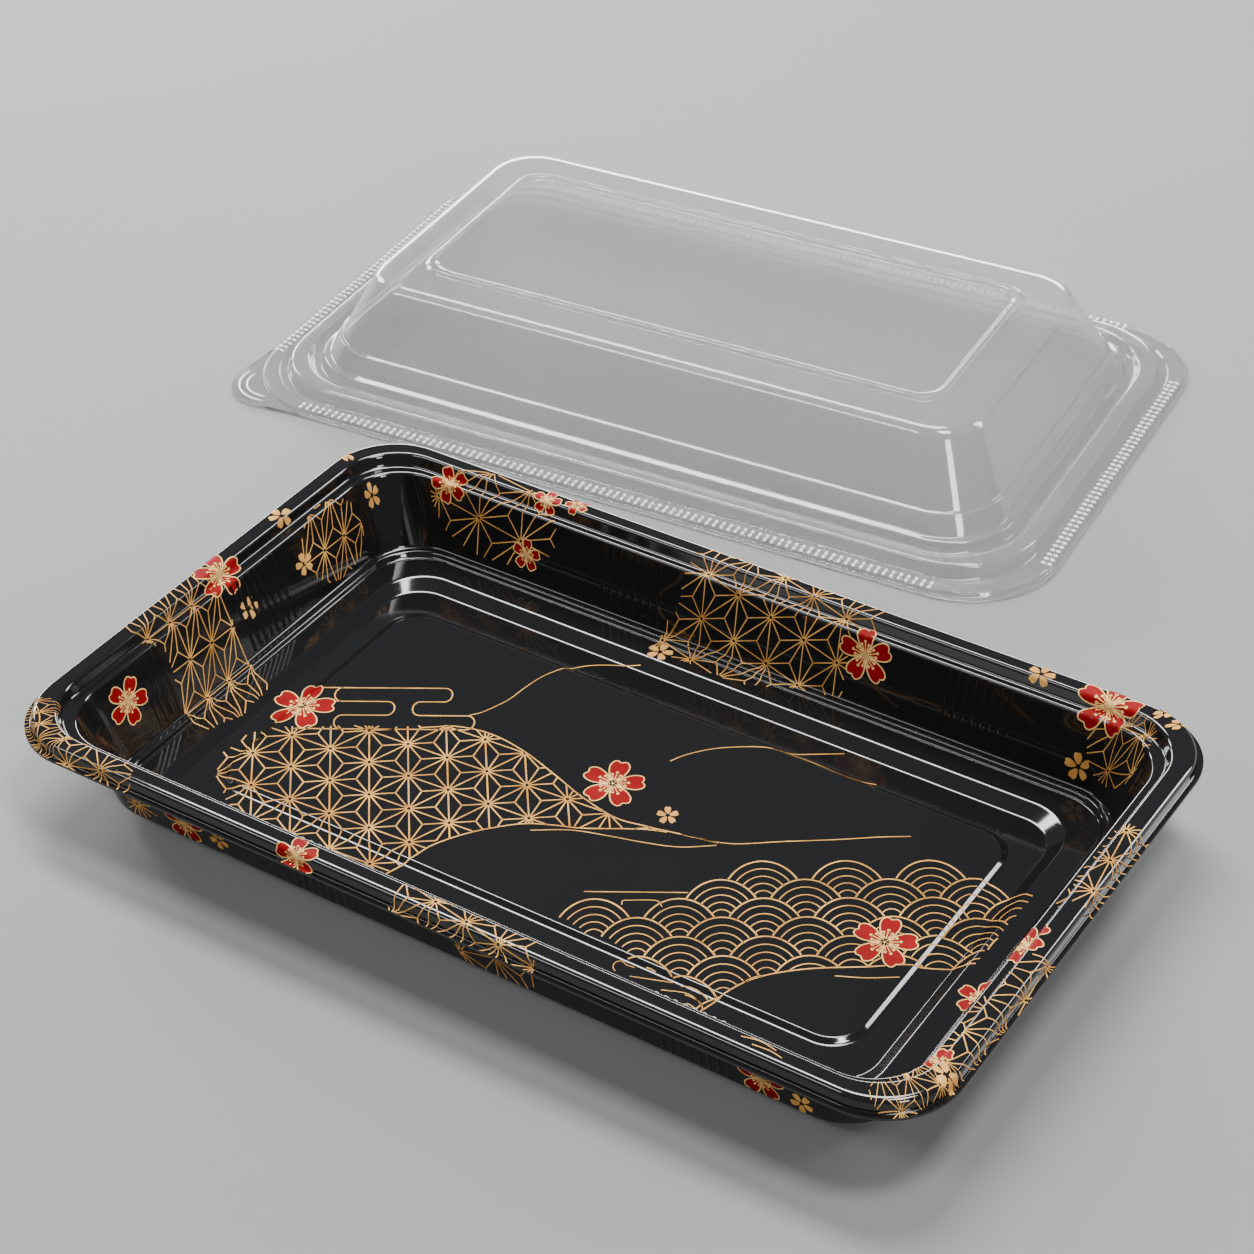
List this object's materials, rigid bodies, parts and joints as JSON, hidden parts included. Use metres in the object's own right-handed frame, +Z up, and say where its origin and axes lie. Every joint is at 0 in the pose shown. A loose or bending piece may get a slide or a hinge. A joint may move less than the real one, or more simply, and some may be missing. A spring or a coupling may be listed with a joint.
{
  "type": "takeaway sushi tray with clear lid",
  "caption": "Shallow rectangular black plastic takeaway tray with a gold and red traditional print, and its separate clear domed lid lying dome up behind it.",
  "frame": {"origin": "middle of the footprint of the tray and lid together, on the surface they lie on", "axes": "+Z up, +X along the tray's long side, +Y from the tray towards the lid behind it"},
  "size_m": [0.3216, 0.333, 0.03],
  "materials": {
    "tray": "glossy black sheet with a gold and red print",
    "lid": "clear glossy sheet"
  },
  "bodies": {
    "root": {"tray": "tray", "lid": "lid"}
  },
  "joints": []
}
